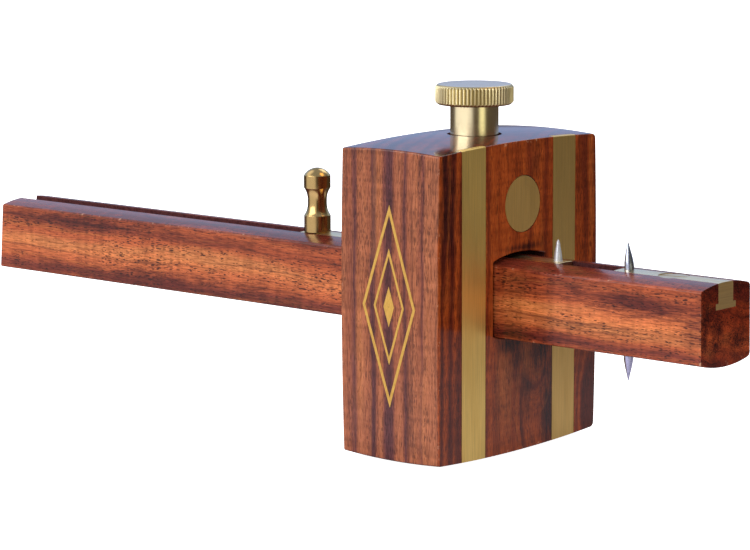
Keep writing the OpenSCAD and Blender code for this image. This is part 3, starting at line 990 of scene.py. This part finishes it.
def build_thumbscrew():
    """The knurled head, and below it the collar, the thread and the plain tip."""
    head_top = SCREW_HIGH.z
    head_bottom = head_top - HEAD_H
    chamfer, rim_h, dish = 0.6, 0.62, 0.03
    face_r = HEAD_R - chamfer - 0.15

    def tooth(angle):
        phase = (angle * KNURL_TEETH / (2 * math.pi)) % 1.0
        return HEAD_R - KNURL_DEPTH * min(1.0, max(0.0, 1.25 - 3.3 * abs(phase - 0.5)))

    def rim(z_edge, z_in):
        """The chamfer at one rim, from its small end to the full radius."""
        steps = 6
        return [
            (HEAD_R - chamfer * (1 - k / steps), z_edge + (z_in - z_edge) * k / steps)
            for k in range(steps + 1)
        ]

    underside = [(COLLAR_R, head_bottom), (face_r, head_bottom)]
    lower = rim(head_bottom + dish, head_bottom + rim_h)
    upper = rim(head_top - dish, head_top - rim_h)[::-1]
    crown = [(face_r, head_top), (HEAD_R * 0.5, head_top - dish), (0, head_top - dish)]
    head = lathe("thumbscrew_brass",
                 [(0, head_bottom)] + underside + lower + upper + crown,
                 at=(SCREW_X, SCREW_Y, 0), segments=KNURL_TEETH * 8, tooth=tooth)
    root_r, crest_r, tip_r = THREAD_R - 0.7, THREAD_R - RUN, 2.0
    thread = []
    for i in range(int((COLLAR_BOTTOM - SHOE_TOP - RUN) / THREAD_PITCH)):
        low = SHOE_TOP + RUN + i * THREAD_PITCH
        thread += [(root_r, low, 0), (crest_r, low + 0.5 * THREAD_PITCH, 0),
                   (crest_r, low + 0.6 * THREAD_PITCH, 0)]
    collar_top = head_bottom + 0.1
    outline = (
        [(0, SCREW_LOW.z, 0), (tip_r - 0.2, SCREW_LOW.z, 0), (tip_r, SCREW_LOW.z + 0.2, 0),
         (tip_r, SHOE_TOP + RUN, 0)]
        + thread
        + [(root_r, COLLAR_BOTTOM, 0), (COLLAR_R, COLLAR_BOTTOM, 0.4),
           (COLLAR_R, collar_top, 0.25), (COLLAR_R - 0.5, collar_top, 0), (0, collar_top, 0)]
    )
    collar = lathe("collar_brass", fillet(outline, closed=False, steps=4),
                   at=(SCREW_X, SCREW_Y, 0), segments=128)
    finish_surface(head, 38)
    finish_surface(collar, 38)
    piece(head, "thumbscrew", "turned_brass", knurl_brass, "thumbscrew")
    # The flat top of the head takes the darker brass copy: painted shade
    head.data.materials.append(top_shade_brass)
    for face in head.data.polygons:
        if face.normal.z > 0.9 and face.center.z > (head_top - 0.2) * MM:
            face.material_index = 1
    piece(collar, "thumbscrew", "turned_brass", bright_brass)


def build_pin(name, node, body, up, marks, material, lean=0.0):
    """A pin with a smooth point. marks are (share of the way out, share of the width).

    lean is how far the point stands off along the stem.
    """
    low, high = box_mm(node)
    r = (high.x - low.x) / 2
    root, surface, tip = (low.z, BAR_HIGH.z, high.z) if up > 0 else (high.z, STEM_LOW.z, low.z)
    out, sunk = abs(tip - surface), abs(surface - root)
    steps = 24
    widths = []
    for k in range(steps + 1):
        t = k / steps
        (a, wa), (b, wb) = next(pair for pair in zip(marks, marks[1:]) if t <= pair[1][0])
        widths.append(r * (wa + (wb - wa) * (t - a) / (b - a)))
    for _ in range(3):
        widths[1:-1] = [(a + 2 * b + c) / 4 for a, b, c in zip(widths, widths[1:], widths[2:])]
    taper = [(w, k / steps * out) for k, w in enumerate(widths)]
    profile = [(0, -sunk), (r, -sunk)] + taper + [(0, out + 0.01)]
    if up < 0:
        profile = [(w, -h) for w, h in reversed(profile)]
    pin = lathe(name, profile, at=((low.x + high.x) / 2, 0, surface), segments=48)
    for vert in pin.data.vertices:
        vert.co.x += lean * max(0.0, vert.co.z - surface * MM) / out
    finish_surface(pin, 50)
    piece(pin, body, "pin_steel", material, node)


def build_ornament():
    """Two nested foil lozenges and a small solid one, on the near side of the stock."""
    lift, sunk = 0.04, 0.05
    middle = -STOCK_T / 2

    def side_y(z, out):
        return z * z / (2 * SIDE_R) - STOCK_HALF_W - out

    def ribbon(name, half_w, half_h, width):
        steps = 16
        corners = [(half_w, 0.0), (0.0, half_h), (-half_w, 0.0), (0.0, -half_h)]
        outer = []
        for i in range(4):
            (x0, z0), (x1, z1) = corners[i], corners[(i + 1) % 4]
            outer += [(x0 + (x1 - x0) * k / steps, z0 + (z1 - z0) * k / steps)
                      for k in range(steps)]
        share = 1 - width * math.hypot(half_w, half_h) / (half_w * half_h)
        inner = [(x * share, z * share) for x, z in outer]
        verts, faces, n = [], [], len(outer)
        for loop, out in ((outer, lift), (inner, lift), (inner, -sunk), (outer, -sunk)):
            verts += [(middle + x, side_y(z, out), z) for x, z in loop]
        for a in range(4):
            b = (a + 1) % 4
            for i in range(n):
                j = (i + 1) % n
                faces.append((a * n + i, a * n + j, b * n + j, b * n + i))
        foil_piece = mesh_object(name, verts, faces)
        finish_surface(foil_piece)
        piece(foil_piece, "stock", "turned_brass", foil)

    ribbon("foil_outer", 8.0, 24.0, 0.75)
    ribbon("foil_inner", 4.6, 13.8, 0.6)
    ribbon("foil_centre", 1.6, 4.8, 1.45)


build_stock()
build_stem()
build_slide()
build_knob()
build_thumbscrew()
OGIVE = [(0.0, 1.0), (0.25, 0.97), (0.5, 0.72), (0.75, 0.38), (1.0, 0.05)]
CONE = [(0.0, 1.0), (0.33, 0.84), (0.66, 0.54), (0.95, 0.32), (1.0, 0.06)]
build_pin("fixed_pin_steel", "fixed_pin", "stem", 1, OGIVE, pin_steel, lean=-0.5)
build_pin("movable_pin_steel", "movable_pin", "slide", 1, CONE, new_pin_steel)
# The marking pin's blue tint is a painted reflection
build_pin("marking_pin_steel", "marking_pin", "stem", -1, OGIVE, reflection_tinted_pin_steel)
build_ornament()

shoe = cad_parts["pressure_shoe"]
shoe.data.materials.clear()
shoe.data.materials.append(bright_brass)

# -------------------------------- stage, light and camera

FLOOR_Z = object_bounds()[0].z - 0.0002


def stage_square(name, half, material):
    """A level square under the gauge."""
    square = mesh_object(name, [(-half, -half, 0), (half, -half, 0), (half, half, 0),
                                (-half, half, 0)], [(0, 1, 2, 3)])
    square.location.z = FLOOR_Z
    square.data.materials.append(material)
    return square


floor = stage_square("floor", 4000, pale_floor("floor_look"))
floor.visible_glossy = False
floor.visible_diffuse = False


def table_sheen():
    """The table near the gauge as only glossy surfaces see it, fading with distance and dimmed
    next to the stock as painted shadow.
    """
    s = Shader("table_sheen_look")
    x, y, z = s.place()
    away = s.length(x, y, 0.0)
    strength = s.spread(y, -60.0, 0.0, 1.3, 0.7)
    behind = s.math("MULTIPLY", s.spread(y, -20.0, 20.0), s.spread(x, 0.0, -40.0))
    strength = s.math("MULTIPLY", strength, s.spread(behind, 0.0, 1.0, 1.0, 0.15))
    # Painted contact shadow: the sheen dims close to the stock's footprint
    beside = s.math("SUBTRACT", s.math("ABSOLUTE", y), STOCK_HALF_W)
    gap = s.math("MAXIMUM", beside, s.math("MAXIMUM", x, s.math("SUBTRACT", -STOCK_T, x)))
    strength = s.math("MULTIPLY", strength, s.spread(gap, 0.0, 16.0, 0.65, 1.0))
    glow = s.add("ShaderNodeEmission", {"Color": (1.0, 0.91, 0.97, 1), "Strength": strength})
    clear = s.add("ShaderNodeBsdfTransparent")
    mixed = s.add("ShaderNodeMixShader", {0: s.spread(away, 90.0, 240.0, 1.0, 0.0),
                                          1: clear.outputs[0], 2: glow.outputs[0]})
    s.feed(s.tree.nodes["Material Output"].inputs["Surface"], mixed.outputs[0])
    sheen = stage_square("table_sheen", 260, s.material)
    sheen.visible_camera = False
    sheen.visible_diffuse = False
    sheen.visible_shadow = False


table_sheen()


def softbox(name, place, aim, size, power, colour=(1, 1, 1)):
    """A rectangular lamp turned towards aim."""
    data = bpy.data.lights.new(name, "AREA")
    data.shape = "RECTANGLE"
    data.size, data.size_y = size
    data.energy = power
    data.color = colour
    light = bpy.data.objects.new(name, data)
    light.location = place
    light.rotation_euler = (Vector(aim) - Vector(place)).to_track_quat("-Z", "Y").to_euler()
    bpy.context.scene.collection.objects.link(light)
    return light


AIM = (-0.03, 0.0, 0.0)
softbox("front_left", (-0.50, -1.40, 0.70), AIM, (1.7, 1.2), 18.0)
right_strip = softbox("right_strip", (1.15, -0.20, 0.30), AIM, (0.50, 0.9), 7.4,
                      (1.0, 0.93, 0.80))
right_strip.visible_glossy = False
softbox("back_fill", (-0.25, 1.20, 1.20), AIM, (0.8, 0.8), 4.0)


# The colours of the room that the brass and the lacquer reflect
FLOOR_DIM = (0.08, 0.060, 0.046)
ROOM_DIM = (0.11, 0.10, 0.083)
CEILING = (0.44, 0.48, 0.58)
PALE_WALL = (1.00, 0.96, 0.98)
BACK_LOW = (0.39, 0.53, 0.85)
BACK_HIGH = (0.58, 0.78, 1.15)

# Soft patches of light: azimuth and elevation, inner and outer radius in degrees, and colour
LAMPS = [
    (-14, -6, 6, 19, (1.20, 1.14, 0.80)),
    (25, 60, 7, 15, (3.4, 2.1, 0.9)),
    (-172, 48, 10, 24, (1.5, 1.5, 1.6)),
]


def studio_world():
    """A dim room: a pale wall to the front left, a cool glow behind, a cool grey ceiling."""
    world = bpy.data.worlds.new("studio")
    world.use_nodes = True
    w = Nodes(world.node_tree)
    where = w.add("ShaderNodeTexCoord").outputs["Generated"]
    x, y, z = w.add("ShaderNodeSeparateXYZ", {0: where}).outputs
    flat_squared = w.math("SUBTRACT", 1.0, w.math("MULTIPLY", z, z))
    flat = w.math("SQRT", w.math("MAXIMUM", flat_squared, 0.0001))

    def smooth(value, low, high):
        return w.spread(value, low, high, kind="SMOOTHSTEP")

    def below(height, low, high):
        """1 below low, fading to 0 at high."""
        return w.math("SUBTRACT", 1.0, smooth(height, low, high))

    def towards(azimuth):
        """The cosine of the angle to an azimuth, seen from above."""
        angle = math.radians(azimuth)
        along = w.math("ADD", w.math("MULTIPLY", x, math.cos(angle)),
                       w.math("MULTIPLY", y, math.sin(angle)))
        return w.math("DIVIDE", along, flat)

    level = smooth(z, -0.03, 0.04)
    base = w.mix(level, FLOOR_DIM, ROOM_DIM)
    base = w.mix(smooth(z, 0.35, 0.9), base, CEILING)
    wall = w.math("MULTIPLY", smooth(towards(-108), 0.55, 0.82),
                  below(w.math("ABSOLUTE", z), 0.62, 0.9))
    base = w.mix(wall, base, PALE_WALL)
    back = w.math("MULTIPLY", smooth(towards(132), 0.2, 0.75),
                  w.math("MULTIPLY", level, below(z, 0.4, 0.7)))
    base = w.mix(back, base, w.mix(smooth(z, 0.16, 0.36), BACK_LOW, BACK_HIGH))
    for azimuth, elevation, inner, outer, colour in LAMPS:
        tilt = math.radians(elevation)
        level_part = w.math("MULTIPLY", w.math("MULTIPLY", towards(azimuth), flat),
                            math.cos(tilt))
        angle = w.math("ADD", level_part, w.math("MULTIPLY", z, math.sin(tilt)))
        glow = smooth(angle, math.cos(math.radians(outer)), math.cos(math.radians(inner)))
        base = w.mix(glow, base, colour)
    w.feed(w.tree.nodes["Background"].inputs["Color"], base)
    w.feed(w.tree.nodes["Background"].inputs["Strength"], 1.0)
    bpy.context.scene.world = world


studio_world()
bpy.context.scene.view_settings.view_transform = "Standard"

CAMERA_AIM_MM = (-45.1, 0.0, 0.6)
CAMERA_DISTANCE_MM = 770.0
CAMERA_AZIMUTH = 40.4
CAMERA_ELEVATION = 9.2
CAMERA_ROLL = -0.2
CAMERA_LENS = 149.6

turn = Euler(
    (math.radians(90 - CAMERA_ELEVATION), 0, math.radians(CAMERA_AZIMUTH))
).to_matrix() @ Matrix.Rotation(math.radians(CAMERA_ROLL), 3, "Z")
camera_data = bpy.data.cameras.new("camera")
camera_data.lens = CAMERA_LENS
camera_data.sensor_width = 36.0
camera_data.clip_start = 0.01
camera = bpy.data.objects.new("camera", camera_data)
camera.rotation_euler = turn.to_euler()
camera.location = Vector(CAMERA_AIM_MM) * MM + turn @ Vector((0, 0, CAMERA_DISTANCE_MM * MM))
bpy.context.scene.collection.objects.link(camera)
bpy.context.scene.camera = camera
